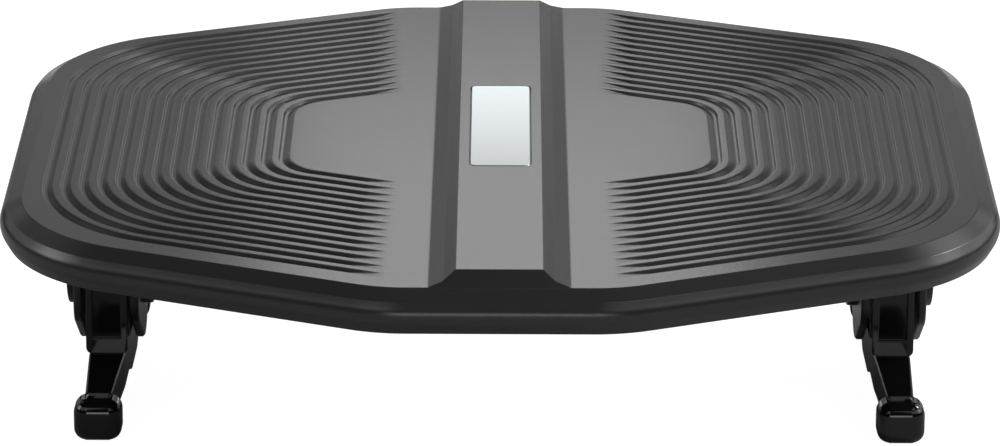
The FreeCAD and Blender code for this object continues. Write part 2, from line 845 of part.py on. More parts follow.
def build_pivot_cap():
    """Round cap over the bolt head, held by three pins in its cheek."""
    body = new_body("pivot_cap_right")
    disc = pad(body, "cap_disc", side_disc(body, "cap_plan", OUTER_FACE, "cap_size"), "Sheet.cap_thickness")
    doc.recompute()
    far = val("cheek_gap") / 2 + val("cheek_thickness") + val("cap_thickness")
    rim = pick_edges(disc, lambda e: abs(e.BoundBox.XMin - far) < 0.01)
    dress(body, "cap_edge", "Chamfer", disc, rim, "Size", "Sheet.edge_chamfer")
    hole = side_disc(body, "cap_recess_plan", OUTER_FACE, "cap_recess")
    pocket(body, "cap_recess", hole, "Sheet.cap_recess_depth", reverse=True)
    pins = new_sketch(body, "cap_pin_plan", "YZ_Plane", OUTER_FACE)
    for y, z in cap_pin_centres():
        add_circle(pins, y, z, "cap_pin")
    pad(body, "cap_pins", pins, "Sheet.cheek_thickness - Sheet.tape_thickness", reverse=True)
    on_pivot(body)
    return body


def build_pivot_bolt():
    """Hexagon bolt from the outer cheek through the leg to the locknut."""
    body = new_body("pivot_bolt_right")
    head = new_sketch(body, "bolt_head_plan", "YZ_Plane", OUTER_FACE)
    add_hexagon(head, 0, 0, val("hex_flats"))
    top = pad(body, "bolt_head", head, "Sheet.hex_head")
    doc.recompute()
    far = val("cheek_gap") / 2 + val("cheek_thickness") + val("hex_head")
    rim = pick_edges(top, lambda e: abs(e.BoundBox.XMin - far) < 0.01)
    dress(body, "bolt_head_edge", "Chamfer", top, rim, "Size", "Sheet.tape_thickness")
    plan = side_disc(body, "bolt_shank_plan", OUTER_FACE, "bolt_size")
    shank = pad(body, "bolt_shank", plan, BOLT_REACH, reverse=True)
    doc.recompute()
    end = pick_edges(shank, lambda e: e.BoundBox.XMax < -val("cheek_gap") / 2 - val("cheek_thickness") - 2)
    dress(body, "bolt_end", "Chamfer", shank, end, "Size", "Sheet.tape_thickness")
    on_pivot(body)
    return body


BOLT_REACH = "2 * Sheet.cheek_thickness + Sheet.cheek_gap + Sheet.nut_height + Sheet.washer_gap"


def build_pivot_nut():
    """Thin nut on the inner cheek."""
    body = new_body("pivot_nut_right")
    low = "-(" + OUTER_FACE + ")"
    plan = new_sketch(body, "nut_plan", "YZ_Plane", low)
    add_hexagon(plan, 0, 0, val("hex_flats"))
    add_circle(plan, 0, 0, "nut_bore")
    pad(body, "nut_hexagon", plan, "Sheet.nut_height", reverse=True)
    on_pivot(body)
    return body


def build_nut_cap(cap):
    """Second cap of the same shape, over the nut on the inner cheek."""
    other = mirrored_copy("nut_cap_right", cap)
    other.setExpression("Base.x", "Sheet.leg_x")
    return other


def build_friction_washers():
    """One plastic washer on each side of the leg."""
    body = new_body("washer_body")
    near = "Sheet.upright_width / 2 + Sheet.washer_gap"
    plan = side_disc(body, "washer_plan", near, "washer_size")
    add_circle(plan, 0, 0, "bolt_bore")
    pad(body, "washer_pad", plan, "Sheet.cheek_gap / 2 - Sheet.upright_width / 2 - Sheet.washer_gap")
    other = mirrored_copy("washer_other", body)
    washers = group("friction_washers", "friction_washers_right", [body, other])
    on_pivot(washers)
    return washers


def build_stop_pin():
    """Pin across the fork: it runs in the leg's arc slot and ends the tilt both ways."""
    body = new_body("stop_pin_right")
    plan = new_sketch(body, "stop_plan", "YZ_Plane")
    add_circle(plan, 0, val("stop_radius"), "stop_size")
    rod = pad(body, "stop_rod", plan, "Sheet.cheek_gap + 2 * Sheet.cheek_thickness + 1", midplane=True)
    doc.recompute()
    ends = pick_edges(rod, lambda e: e.BoundBox.XLength < 0.01)
    dress(body, "stop_ends", "Chamfer", rod, ends, "Size", "Sheet.tape_thickness")
    on_pivot(body)
    return body


def slot_edges(centre_y, centre_z, radius, width, start, stop):
    """Closed arc slot about a point, between two angles in degrees measured from +y to +z."""
    half = width / 2
    a = math.radians(start)
    b = math.radians(stop)
    hub = V(centre_y, centre_z, 0)
    first = hub + V(math.cos(a), math.sin(a), 0) * radius
    last = hub + V(math.cos(b), math.sin(b), 0) * radius
    return [
        Part.ArcOfCircle(Part.Circle(hub, Z_AXIS, radius + half), a, b),
        Part.ArcOfCircle(Part.Circle(last, Z_AXIS, half), b, b + math.pi),
        Part.ArcOfCircle(Part.Circle(hub, Z_AXIS, radius - half), a, b),
        Part.ArcOfCircle(Part.Circle(first, Z_AXIS, half), a + math.pi, a + 2 * math.pi),
    ]


def build_upright():
    """Leg head: a thick round plate with its pivot seat, stop slot and screw holes."""
    body = new_body("upright_right")
    reach = val("head_radius")
    axis = val("pivot_height")
    seat = val("seat_height")
    side = new_sketch(body, "head_outline", "YZ_Plane")
    side.addGeometry(Part.ArcOfCircle(Part.Circle(V(0, axis, 0), Z_AXIS, reach), 0, math.pi), False)
    corners = [V(-reach, axis, 0), V(-reach, seat, 0), V(reach, seat, 0), V(reach, axis, 0)]
    for a, b in zip(corners, corners[1:]):
        side.addGeometry(Part.LineSegment(a, b), False)
    add_circle(side, 0, axis, "bushing_seat")
    play = math.degrees((val("stop_slot") - val("stop_size")) / 2 / val("stop_radius")) * 0.75
    low = 90 + val("rest_tilt") - val("tilt_down") + play
    high = 90 + val("rest_tilt") + val("tilt_up") - play
    side.addGeometry(slot_edges(0, axis, val("stop_radius"), val("stop_slot"), low, high), False)
    block_pad = pad(body, "head_block", side, "Sheet.upright_width", midplane=True)
    doc.recompute()
    foot = pick_edges(block_pad, lambda e: flat_at(e, seat) and e.BoundBox.YLength > reach)
    dress(body, "foot_rounding", "Fillet", block_pad, foot, "Radius", "3")
    panel = new_sketch(body, "panel_profile", "YZ_Plane")
    for sign in (-1, 1):
        add_polygon(panel, [(sign * (reach + 1), 29), (sign * (reach - 3.5), 29), (sign * (reach - 1.5), 62),
                            (sign * (reach + 1), 68)])
    pocket(body, "panels", panel, "13", midplane=True)
    doc.recompute()
    relief = new_sketch(body, "relief_plan", "YZ_Plane", "Sheet.upright_width / 2")
    for sign in (-1, 1):
        add_round_box(relief, sign * 12, 32, 16, 12, 2)
    hollow = pocket(body, "relief", relief, "6.5")
    mirror(body, "relief_pair", [hollow], "YZ_Plane")
    holes = new_sketch(body, "foot_pilots", "XY_Plane", "Sheet.seat_height")
    for sign in (-1, 1):
        add_circle(holes, 0, sign * val("foot_screw_y"), "pilot_hole")
    pocket(body, "foot_pilot_holes", holes, "14", reverse=True)
    on_floor(body)
    return body


def build_bushing():
    body = new_body("bushing_right")
    plan = new_sketch(body, "bushing_plan", "YZ_Plane")
    add_circle(plan, 0, val("pivot_height"), "bushing_size")
    add_circle(plan, 0, val("pivot_height"), "bolt_bore")
    pad(body, "bushing_pad", plan, "Sheet.upright_width", midplane=True)
    on_floor(body)
    return body


def skid_side():
    """Long profile of the bar between the two toes, arched in front of the column."""
    end = val("skid_end") - 4
    low = val("skid_low")
    seat = val("seat_height")
    toe = val("toe_height")
    reach = val("head_radius")
    return [(-end, low), (-end, toe - 0.6), (-reach, seat), (reach, seat), (end, toe - 0.6), (end, low),
            (6, low), (-6, 5.5), (-60, 5.5), (-78, low)]


def build_skid():
    """Ground bar with a blunt toe at each end, a tapered neck and seats for the screws and pads."""
    front = build_toe()
    whole = fuse("skid_solid", [build_bar(), front, mirrored_copy("toe_behind", front, Y_AXIS)])
    skid = cut("skid_right", whole, build_skid_holes())
    on_floor(skid)
    return skid


def build_bar():
    body = new_body("skid_bar")
    side = new_sketch(body, "bar_profile", "YZ_Plane")
    add_polygon(side, skid_side())
    pad(body, "bar", side, "Sheet.bar_width", midplane=True)
    wide = val("bar_width") / 2
    plan = new_sketch(body, "neck_taper_plan", "XY_Plane", "-1")
    end = val("skid_end")
    reach = val("head_radius")
    for sy in (-1, 1):
        add_polygon(plan, [(wide, sy * reach), (wide - 2.2, sy * (end - 12)), (wide - 2.2, sy * end),
                           (wide + 2, sy * end), (wide + 2, sy * reach)])
    taper = pocket(body, "neck_taper", plan, "40", reverse=True)
    mirror(body, "neck_tapers", [taper], "YZ_Plane")
    doc.recompute()
    return body


def build_toe():
    body = new_body("toe")
    side = new_sketch(body, "toe_profile", "YZ_Plane")
    front = -val("skid_end")
    back = front + val("toe_length")
    low = val("skid_low")
    high = val("toe_height")
    add_polygon(side, [(front, low), (back, low), (back, high), (front, high)])
    lump = pad(body, "toe_block", side, "Sheet.toe_width", midplane=True)
    doc.recompute()
    edges = pick_edges(lump, lambda e: is_toe_edge(e, high))
    dress(body, "toe_round", "Fillet", lump, edges, "Radius", "Sheet.toe_radius")
    doc.recompute()
    edges = pick_edges(body.Tip, lambda e: flat_at(e, low) and e.BoundBox.YMin < back - 0.1)
    dress(body, "toe_sole", "Fillet", body.Tip, edges, "Radius", "Sheet.toe_sole_radius")
    doc.recompute()
    return body


def is_toe_edge(edge, high):
    """Upright and top edges, apart from the one where the neck leaves the toe."""
    box = edge.BoundBox
    at_side = box.XLength < 0.01
    at_front = box.YMax < 0.01 - val("skid_end")
    return at_side and at_front or flat_at(edge, high) and (at_side or at_front)


def build_skid_holes():
    body = new_body("skid_holes")
    seats = new_sketch(body, "foot_screw_seats", "XY_Plane", "-1")
    through = new_sketch(body, "foot_screw_holes", "XY_Plane", "-1")
    pads = new_sketch(body, "pad_seats", "XY_Plane", "-1")
    for sign in (-1, 1):
        add_circle(seats, 0, sign * val("foot_screw_y"), "foot_screw_bore")
        add_circle(through, 0, sign * val("foot_screw_y"), "screw_hole")
        add_box(pads, 0, sign * val("pad_y"), "pad_recess_width", "pad_recess_length")
    pad(body, "screw_seats", seats, "Sheet.foot_screw_seat + 1")
    pad(body, "screw_holes", through, "Sheet.seat_height + 2")
    pad(body, "pad_recesses", pads, "Sheet.pad_height + 1")
    return body


def build_skid_screws():
    body = screw_body("foot_screw", "foot_screw_length")
    body.setExpression("Placement.Base.y", "Sheet.foot_screw_y")
    body.setExpression("Placement.Base.z", "Sheet.foot_screw_seat")
    other = mirrored_copy("foot_screw_other", body, Y_AXIS)
    screws = group("skid_screws", "skid_screws_right", [body, other])
    on_floor(screws)
    return screws


def build_foot_pads():
    """Rubber pad under each toe, pressed into its seat."""
    body = new_body("foot_pad")
    plan = new_sketch(body, "foot_pad_plan", "XY_Plane")
    add_box(plan, 0, val("pad_y"), "pad_width", "pad_length")
    block_pad = pad(body, "foot_pad_block", plan, "Sheet.pad_height")
    doc.recompute()
    low = pick_edges(block_pad, lambda e: flat_at(e, 0))
    dress(body, "foot_pad_edge", "Chamfer", block_pad, low, "Size", "Sheet.tape_thickness")
    other = mirrored_copy("foot_pad_other", body, Y_AXIS)
    pads = group("foot_pads", "foot_pads_right", [body, other])
    on_floor(pads)
    return pads


def build_right_leg():
    cap = build_pivot_cap()
    return [
        build_bracket(),
        build_bracket_screws(),
        cap,
        build_nut_cap(cap),
        build_pivot_bolt(),
        build_pivot_nut(),
        build_friction_washers(),
        build_stop_pin(),
        build_upright(),
        build_bushing(),
        build_skid(),
        build_skid_screws(),
        build_foot_pads(),
    ]


def check_everything():
    for item in doc.Objects:
        if "Invalid" in item.State or "Error" in item.State:
            raise RuntimeError("failed feature: " + item.Name)


def check_shape(item):
    shape = item.Shape
    if shape.isNull() or not shape.isValid() or not shape.Solids:
        raise RuntimeError("bad shape: " + item.Label)


nodes = [build_deck()] + build_badge()
right = build_right_leg()
left = [mirrored_copy(item.Label.replace("_right", "_left"), item) for item in right]
nodes += right + left
doc.recompute()
check_everything()

os.makedirs("parts", exist_ok=True)
for node in nodes:
    check_shape(node)
    node.Shape.exportStep("parts/%s.step" % node.Label)
    box = node.Shape.BoundBox
    print("%-24s solids %d  volume %9.1f  x %.1f..%.1f  y %.1f..%.1f  z %.1f..%.1f" % (
        node.Label, len(node.Shape.Solids), node.Shape.Volume,
        box.XMin, box.XMax, box.YMin, box.YMax, box.ZMin, box.ZMax))
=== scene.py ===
import bpy
import json
import math
from mathutils import Matrix, Vector, geometry


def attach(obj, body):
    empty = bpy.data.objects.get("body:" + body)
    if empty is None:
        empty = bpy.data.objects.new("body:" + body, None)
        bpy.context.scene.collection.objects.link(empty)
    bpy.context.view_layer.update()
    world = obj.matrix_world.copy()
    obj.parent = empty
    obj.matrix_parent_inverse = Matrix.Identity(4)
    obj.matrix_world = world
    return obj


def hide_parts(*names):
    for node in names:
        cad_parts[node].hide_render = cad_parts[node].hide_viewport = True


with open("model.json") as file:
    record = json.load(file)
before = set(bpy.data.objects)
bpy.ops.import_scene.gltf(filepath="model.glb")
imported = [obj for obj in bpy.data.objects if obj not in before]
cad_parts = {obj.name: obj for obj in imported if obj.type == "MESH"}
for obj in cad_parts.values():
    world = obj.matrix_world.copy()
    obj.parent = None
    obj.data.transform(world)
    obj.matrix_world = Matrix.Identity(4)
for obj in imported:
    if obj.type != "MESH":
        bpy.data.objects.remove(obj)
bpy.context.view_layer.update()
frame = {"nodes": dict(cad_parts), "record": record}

# Sizes in millimetres and degrees. The deck frame has z = 0 on the flat of the deck.
REST_TILT = 5
PIVOT_HEIGHT = 59
DECK_DROP = 57.9
AXIS_SET_BACK = 4.11
LEG_X = 180.2

EDGE_HALF_X = 213.2
EDGE_HALF_Y = 184.5
EDGE_SLANT = 190.65
SLANT = math.radians(21)
CORNER_RADIUS = 70
FRONT_RADIUS = 60
CREST_REACH = 6.8
CREST_LOW = 3.85
SIDE_REACH = 10
SIDE_TOP = 7.9
SIDE_BOTTOM = 12.8
SKIRT_DEPTH = 18.6
SKIRT_TUCK = 3.2
RIM_WALL = 2
WALL = 2.8
SLOPE_WIDTH = 4.6
SLOPE_HEIGHT = 2.6
TOP_ROUND = 1.2
CREST_ROUND = 1.3
SIDE_ROUND = 7.7
RIM_ROUND = 0.5
BORDER_STRIP = 2.2

HUMP_HEIGHT = 6
HUMP_TOP_HALF = 18.8
HUMP_KNEE_HALF = 24.2
HUMP_KNEE_HEIGHT = 2.1
HUMP_FOOT_HALF = 30.5
HUMP_ROUNDS = (5, 2.5, 1.3)
HUMP_MARGIN = 4

TREAD_HALF_X = 205.1
TREAD_SLANT = 181.7
TREAD_SHIFT = 2.1
TREAD_RADIUS = 76
TREAD_END = 40
FINE_START = 48
FINE_STEP = 1.5
FINE_STEPS = 22
PITCH = 8
GROOVES = 14
GROOVE_DEPTH = 1.35
GROOVE_WALL = 0.8
GROOVE_FLOOR = 2.2
GROOVE_FLANK = 4.6
GROOVE_ROUNDS = (0.3, 0.3, 1.2, 2.4)
TREAD_MARGIN = 1.5
FADE_START = 44
FADE_SKEW = 7
FADE_REACH = 200
FADE_LENGTH = 19

BADGE_WIDTH = 27.2
BADGE_LENGTH = 106
BADGE_RADIUS = 2.6
BADGE_GAP = 0.3
BADGE_POCKET = 1.3

CROSS_RIBS = (75, 110, 150)
LONG_RIBS = (30, 65, 105, 145)
MIDDLE_RIB = 25
MIDDLE_RIB_END = 146
LEG_RIB = 180
LEG_RIB_START = 62
RIB_TRIM = 1
RIB_WIDTH = 2
RIB_LOW = 10.8
BOSS_SIZE = 10
BOSS_LOW = 9
SCREW_X = 23
SCREW_Y = 46

SKID_LOW = 0.3
SKID_HALF = 8.2
NECK_HALF = 6
NECK_START = 38
NECK_END = 89
SEAT_HEIGHT = 22
ARCH_HEIGHT = 5.5
ARCH_FOOT = 78
ARCH_START = 60
ARCH_END = 6
BAR_END = 97
BAR_ROUND = 1
TOE_END = 101
TOE_BACK = 87
TOE_HALF = 10.7
TOE_HEIGHT = 19.2
TOE_ROUND = 6.4
SOLE_ROUND = 5.2
CHEEK_FACE = 14.9
CAP_RADIUS = 23
CAP_THICKNESS = 4.6
CAP_ROUND = 0.8

FLOOR_SEEN = 0.9
FLOOR_GLOW = 1.5
FLOOR_SHARE = 0.35
FLOOR_MIRRORED = 0.55
FLOOR_REACH = 6

# The camera and the light panels are placed in metres and degrees, and the panels have watts.
CAMERA_PLACE = (0.00223, -2.21941, 0.72466)
CAMERA_TURN = (73.69186, -0.20227, 0.11927)
CAMERA_LENS = 180.049
LIGHT_AIM = 0.08
FAR = 2.6
NEAR = 0.8

# Badge silver: a painted lit tone for the back of the plate and a painted shaded tone for its front, a
# painted sheen.
SILVER_PAINTED_LIT_BACK = (0.53, 0.57, 0.58)
SILVER_PAINTED_SHADE_FRONT = (0.29, 0.3, 0.3)

MM = Matrix.Scale(0.001, 4)


def tilted(x, drop):
    """Frame of a thing that tilts with the deck: its origin lies a drop above the tilt axis."""
    turn = Matrix.Rotation(math.radians(REST_TILT), 4, "X")
    axis = Matrix.Translation((x, AXIS_SET_BACK, PIVOT_HEIGHT))
    return MM @ axis @ turn @ Matrix.Translation((0, 0, drop))


DECK = tilted(0, DECK_DROP)


def rounded(points, radii, steps):
    """Open polyline with each inner corner replaced by a short arc of its own radius."""
    out = [tuple(points[0])]
    for i in range(1, len(points) - 1):
        p = Vector(points[i])
        a = (Vector(points[i - 1]) - p).normalized()
        b = (Vector(points[i + 1]) - p).normalized()
        half = a.angle(b) / 2
        radius = radii[i - 1]
        run = radius / math.tan(half)
        centre = p + (a + b).normalized() * radius / math.sin(half)
        start = p + a * run - centre
        sweep = math.pi - 2 * half
        sign = 1 if a.cross(b) < 0 else -1
        for k in range(steps + 1):
            turn = Matrix.Rotation(sign * sweep * k / steps, 2)
            out.append(tuple(centre + turn @ start))
    out.append(tuple(points[-1]))
    return out


def split(points, pieces):
    """Divide chosen stretches of a polyline into equal parts."""
    out = [points[0]]
    for i in range(len(points) - 1):
        a = Vector(points[i])
        b = Vector(points[i + 1])
        count = pieces(a, b)
        for k in range(1, count + 1):
            out.append(tuple(a.lerp(b, k / count)))
    return out


class Sheet:
    """Collects points and faces of one mesh, then makes it an object with area weighted normals."""

    def __init__(self):
        self.points = []
        self.faces = []

    def grid(self, rows, closed=False, flip=False):
        """Quads between rows of equal length."""
        base = len(self.points)
        wide = len(rows[0])
        for row in rows:
            self.points += [Vector(p) for p in row]
        last = wide if closed else wide - 1
        for j in range(len(rows) - 1):
            for i in range(last):
                k = (i + 1) % wide
                a = base + j * wide
                b = a + wide
                quad = [a + i, a + k, b + k, b + i]
                self.faces.append(quad[::-1] if flip else quad)

    def fill(self, loops, z, up=True):
        """Flat face at one height, inside the first loop and outside the others."""
        points = []
        edges = []
        for loop in loops:
            base = len(points)
            points += [Vector(p) for p in loop]
            edges += [(base + i, base + (i + 1) % len(loop)) for i in range(len(loop))]
        flat, _, triangles, _, _, _ = geometry.delaunay_2d_cdt(points, edges, [], 1, 0.0001)
        base = len(self.points)
        self.points += [Vector((p.x, p.y, z)) for p in flat]
        for a, b, c in triangles:
            middle = (flat[a] + flat[b] + flat[c]) / 3
            if any(is_inside(middle, loop) for loop in loops[1:]):
                continue
            rises = (flat[b] - flat[a]).cross(flat[c] - flat[a]) > 0
            ring = [base + a, base + b, base + c]
            self.faces.append(ring if rises == up else ring[::-1])

    def make(self, name, matrix):
        mesh = bpy.data.meshes.new(name)
        mesh.from_pydata([matrix @ p for p in self.points], [], self.faces)
        mesh.update()
        normals = [Vector() for p in self.points]
        for face in mesh.polygons:
            push = face.normal * face.area
            for i in face.vertices:
                normals[i] += push
        mesh.polygons.foreach_set("use_smooth", [True] * len(mesh.polygons))
        mesh.normals_split_custom_set_from_vertices([n.normalized() for n in normals])
        piece = bpy.data.objects.new(name, mesh)
        bpy.context.scene.collection.objects.link(piece)
        return piece


def is_inside(point, loop):
    """Whether a point lies within an outline: a ray from it crosses the outline an odd number of times."""
    odd = False
    for i, (x, y) in enumerate(loop):
        last_x, last_y = loop[i - 1]
        if (y > point.y) == (last_y > point.y):
            continue
        if point.x < x + (point.y - y) * (last_x - x) / (last_y - y):
            odd = not odd
    return odd


def hump_line():
    """Right half of the middle rib's section, from the flat of the deck to the middle line."""
    corners = [(HUMP_FOOT_HALF + HUMP_MARGIN, 0), (HUMP_FOOT_HALF, 0), (HUMP_KNEE_HALF, HUMP_KNEE_HEIGHT),
               (HUMP_TOP_HALF, HUMP_HEIGHT), (HUMP_TOP_HALF - 3, HUMP_HEIGHT)]
    return rounded(corners, HUMP_ROUNDS, 5)[1:]


def rim_stations():
    """Point and outward normal of every station round the edge of the flat, anticlockwise."""
    side_y = (EDGE_SLANT - CORNER_RADIUS - (EDGE_HALF_X - CORNER_RADIUS) * math.sin(SLANT)) / math.cos(SLANT)
    front_x = (EDGE_SLANT - FRONT_RADIUS - (EDGE_HALF_Y - FRONT_RADIUS) * math.cos(SLANT)) / math.sin(SLANT)
    turn = math.pi / 2 - SLANT
    quarter = []
    for k in range(33):
        quarter.append(station((EDGE_HALF_X - CORNER_RADIUS, side_y), CORNER_RADIUS, turn * k / 32))
    for k in range(13):
        angle = turn + SLANT * k / 12
        quarter.append(station((front_x, EDGE_HALF_Y - FRONT_RADIUS), FRONT_RADIUS, angle))
    half = quarter + [mirror_station(s, -1, 1) for s in reversed(quarter)]
    return half + [mirror_station(s, -1, -1) for s in half]


def station(centre, radius, angle):
    normal = Vector((math.cos(angle), math.sin(angle)))
    return (Vector(centre) + normal * radius, normal)


def mirror_station(item, sx, sy):
    return tuple(Vector((v.x * sx, v.y * sy)) for v in item)


def edge_loop(reach):
    """Outline of the deck's flat, grown outwards."""
    return [tuple(base + normal * reach) for base, normal in rim_stations()]


def rim_profile():
    """Section of the deck's edge: bevel, crest, bulging side, rim and the inside of the wall."""
    foot = SIDE_REACH - SKIRT_TUCK
    inner = foot - RIM_WALL
    corners = [
        (-BORDER_STRIP, 0),
        (0, 0),
        (CREST_REACH, -CREST_LOW),
        (SIDE_REACH, -SIDE_TOP),
        (SIDE_REACH, -SIDE_BOTTOM),
        (foot, -SKIRT_DEPTH),
        (inner, -SKIRT_DEPTH),
        (inner, -WALL - SLOPE_HEIGHT),
        (inner - SLOPE_WIDTH, -WALL),
        (inner - SLOPE_WIDTH - BORDER_STRIP, -WALL),
    ]
    radii = (TOP_ROUND, CREST_ROUND, SIDE_ROUND, SIDE_ROUND, RIM_ROUND, RIM_ROUND, RIM_ROUND, RIM_ROUND)
    return rounded(corners, radii, 6)


def add_rim(sheet):
    rows = [[(*point, z) for point in edge_loop(reach)] for reach, z in rim_profile()]
    sheet.grid(rows, closed=True, flip=True)
    sheet.fill([edge_loop(rim_profile()[-1][0])], -WALL, up=False)


def border_loop(side):
    """Outer limit of the flat of one pad, closed along the foot of the middle rib."""
    foot = side * hump_line()[0][0]
    end = EDGE_HALF_Y - BORDER_STRIP
    loop = [(x, y) for x, y in edge_loop(-BORDER_STRIP) if x * side > abs(foot) + 0.1]
    loop += [(foot, end), (foot, -end)]
    return sorted(loop, key=lambda p: math.atan2(p[1], p[0] - foot * 2))


def tread_line():
    """Section across the grooves: inset from the outermost crest, and height."""
    corners = [(-TREAD_MARGIN, 0)]
    radii = []
    for i in range(GROOVES):
        start = i * PITCH
        corners += [(start, 0), (start + GROOVE_WALL, -GROOVE_DEPTH), (start + GROOVE_FLOOR, -GROOVE_DEPTH),
                    (start + GROOVE_FLANK, 0)]
        radii += GROOVE_ROUNDS
    end = GROOVES * PITCH
    corners.append((end + TREAD_MARGIN, 0))
    line = rounded(corners, radii, 3)
    return split(line, lambda a, b: 6 if (b - a).length > 2 else 2 if (b - a).length > 0.5 else 1)


def tread_radius(inset):
    """Corner radius of a groove curve: parallel over each step, easing along each lapped flank."""
    number = min(max(math.floor(inset / PITCH), 0), GROOVES - 1)
    step = inset - number * PITCH
    start = TREAD_RADIUS - number * PITCH / 2
    if step <= GROOVE_FLOOR:
        return start - step
    ease = (step - GROOVE_FLOOR) / (PITCH - GROOVE_FLOOR)
    return start - GROOVE_FLOOR + ease * (GROOVE_FLOOR - PITCH / 2)


def tread_curve(inset):
    """Points of one groove curve of the right pad, from its back end round to its front end."""
    half_x = TREAD_HALF_X - inset
    slant = TREAD_SLANT - inset
    radius = tread_radius(inset)
    turn = math.pi / 2 - SLANT
    centre_x = half_x - radius
    centre_y = (slant - radius - centre_x * math.sin(SLANT)) / math.cos(SLANT)
    arc_x = centre_x + radius * math.cos(turn)
    xs = [TREAD_END, FINE_START - 2] + [FINE_START + FINE_STEP * k for k in range(FINE_STEPS)]
    last = xs[-1]
    xs += [last + (arc_x - last) * k / 5 for k in range(1, 5)]
    back = [(x, (slant - x * math.sin(SLANT)) / math.cos(SLANT)) for x in xs]
    for k in range(25):
        angle = turn * (1 - k / 24)
        back.append((centre_x + radius * math.cos(angle), centre_y + radius * math.sin(angle)))
    back.append((half_x, centre_y / 3))
    return back + [(x, -y) for x, y in reversed(back)]


def fade(x, y):
    """Depth that the grooves may have where they run out towards the middle rib."""
    start = FADE_START + FADE_SKEW * abs(y) / FADE_REACH
    return min(0, -(x - start) * GROOVE_DEPTH / FADE_LENGTH)


def add_treads(sheet, side):
    rows = []
    for inset, height in tread_line():
        rows.append([(side * x, y + TREAD_SHIFT, max(height, fade(x, y))) for x, y in tread_curve(inset)])
    sheet.grid(rows, flip=side < 0)
    outer = [(p[0], p[1]) for p in rows[0]]
    inner = [(p[0], p[1]) for p in rows[-1]]
    ends = [(row[0][0], row[0][1]) for row in rows[1:-1]]
    other = [(row[-1][0], row[-1][1]) for row in rows[1:-1]]
    return outer + other + inner[::-1] + ends[::-1]


def round_box(width, length, radius, steps=6):
    loop = []
    for sx, sy, start in ((1, 1, 0), (-1, 1, 90), (-1, -1, 180), (1, -1, 270)):
        for k in range(steps + 1):
            angle = math.radians(start + 90 * k / steps)
            x = sx * (width / 2 - radius) + radius * math.cos(angle)
            y = sy * (length / 2 - radius) + radius * math.sin(angle)
            loop.append((x, y))
    return loop


def hump_end(x, z):
    """Back end of the middle rib at one place of its section, sloping down to the edge of the flat."""
    high = max(z, 0.01)
    end = EDGE_HALF_Y - high
    line = rounded([(end - BORDER_STRIP, high), (end, high), (EDGE_HALF_Y + 0.1, -0.1)],
                   (min(TOP_ROUND, 1.5 * high),), 4)
    return [(x, y, height) for y, height in line]


def add_hump(sheet):
    """Middle rib: its sides and ends as strips, its top as a flat face round the badge's recess."""
    line = hump_line()
    for side in (1, -1):
        rows = []
        for x, z in line:
            back = hump_end(side * x, z)
            rows.append([(a, -b, c) for a, b, c in reversed(back)] + back)
        sheet.grid(rows, flip=side < 0)
    x, z = line[-1]
    for side in (1, -1):
        tips = [[(sign * x, side * b, c) for a, b, c in hump_end(x, z)] for sign in (1, -1)]
        sheet.grid(tips, flip=side < 0)
    end = EDGE_HALF_Y - z - BORDER_STRIP
    gap = 2 * BADGE_GAP
    hole = round_box(BADGE_WIDTH + gap, BADGE_LENGTH + gap, BADGE_RADIUS + BADGE_GAP)
    lip = round_box(BADGE_WIDTH + gap + 0.5, BADGE_LENGTH + gap + 0.5, BADGE_RADIUS + BADGE_GAP + 0.25)
    sheet.fill([[(x, -end), (x, end), (-x, end), (-x, -end)], lip], z)
    floor = z - BADGE_POCKET
    rows = [[(*p, z) for p in lip], [(*p, z - 0.25) for p in hole], [(*p, floor) for p in hole]]
    sheet.grid(rows, closed=True)
    sheet.fill([hole], floor)


def reach_at(loop, axis, value):
    """How far an outline reaches along one axis where the other axis has a value."""
    for i, point in enumerate(loop):
        last = loop[i - 1]
        if (point[axis] - value) * (last[axis] - value) <= 0 and point[axis] != last[axis]:
            share = (value - last[axis]) / (point[axis] - last[axis])
            return abs(last[1 - axis] + share * (point[1 - axis] - last[1 - axis]))
    return 0


def add_rib(sheet, axis, place, start, end):
    """One rib across the given axis, from a start to an end along the other, shorter at its top."""
    rows = []
    for z, trim in ((-RIB_LOW, 0), (-WALL, RIB_TRIM)):
        row = []
        for across, painted_sheen_share in ((-1, start), (1, start), (1, end), (-1, end)):
            point = [0, 0, z]
            point[axis] = place + across * RIB_WIDTH / 2
            point[1 - axis] = painted_sheen_share - math.copysign(trim, painted_sheen_share)
            row.append(tuple(point))
        rows.append(row)
    sheet.grid(rows, closed=True, flip=axis == 1)
    base = len(sheet.points)
    sheet.points += [Vector(p) for p in rows[0]]
    face = [base, base + 1, base + 2, base + 3]
    sheet.faces.append(face if axis == 1 else face[::-1])


def add_underside(sheet):
    """Stiffening grid under the deck, and the bosses for the bracket screws."""
    inside = edge_loop(SIDE_REACH - SKIRT_TUCK - RIM_WALL + 0.5)
    for side in (-1, 1):
        for y in CROSS_RIBS:
            reach = reach_at(inside, 1, y)
            add_rib(sheet, 1, side * y, -reach, reach)
        add_rib(sheet, 1, side * MIDDLE_RIB, -MIDDLE_RIB_END, MIDDLE_RIB_END)
        for x in LONG_RIBS:
            reach = reach_at(inside, 0, x)
            add_rib(sheet, 0, side * x, -reach, reach)
        reach = reach_at(inside, 0, LEG_RIB)
        add_rib(sheet, 0, side * LEG_RIB, LEG_RIB_START, reach)
        add_rib(sheet, 0, side * LEG_RIB, -reach, -LEG_RIB_START)
        for x in (LEG_X - SCREW_X, LEG_X + SCREW_X):
            for y in (-SCREW_Y, SCREW_Y):
                add_boss(sheet, side * x, y)


def add_boss(sheet, x, y):
    turns = [math.tau * k / 24 for k in range(24)]
    ring = [(x + BOSS_SIZE / 2 * math.cos(a), y + BOSS_SIZE / 2 * math.sin(a)) for a in turns]
    sheet.grid([[(*p, -BOSS_LOW) for p in ring], [(*p, -WALL) for p in ring]], closed=True)
    sheet.fill([ring], -BOSS_LOW, up=False)


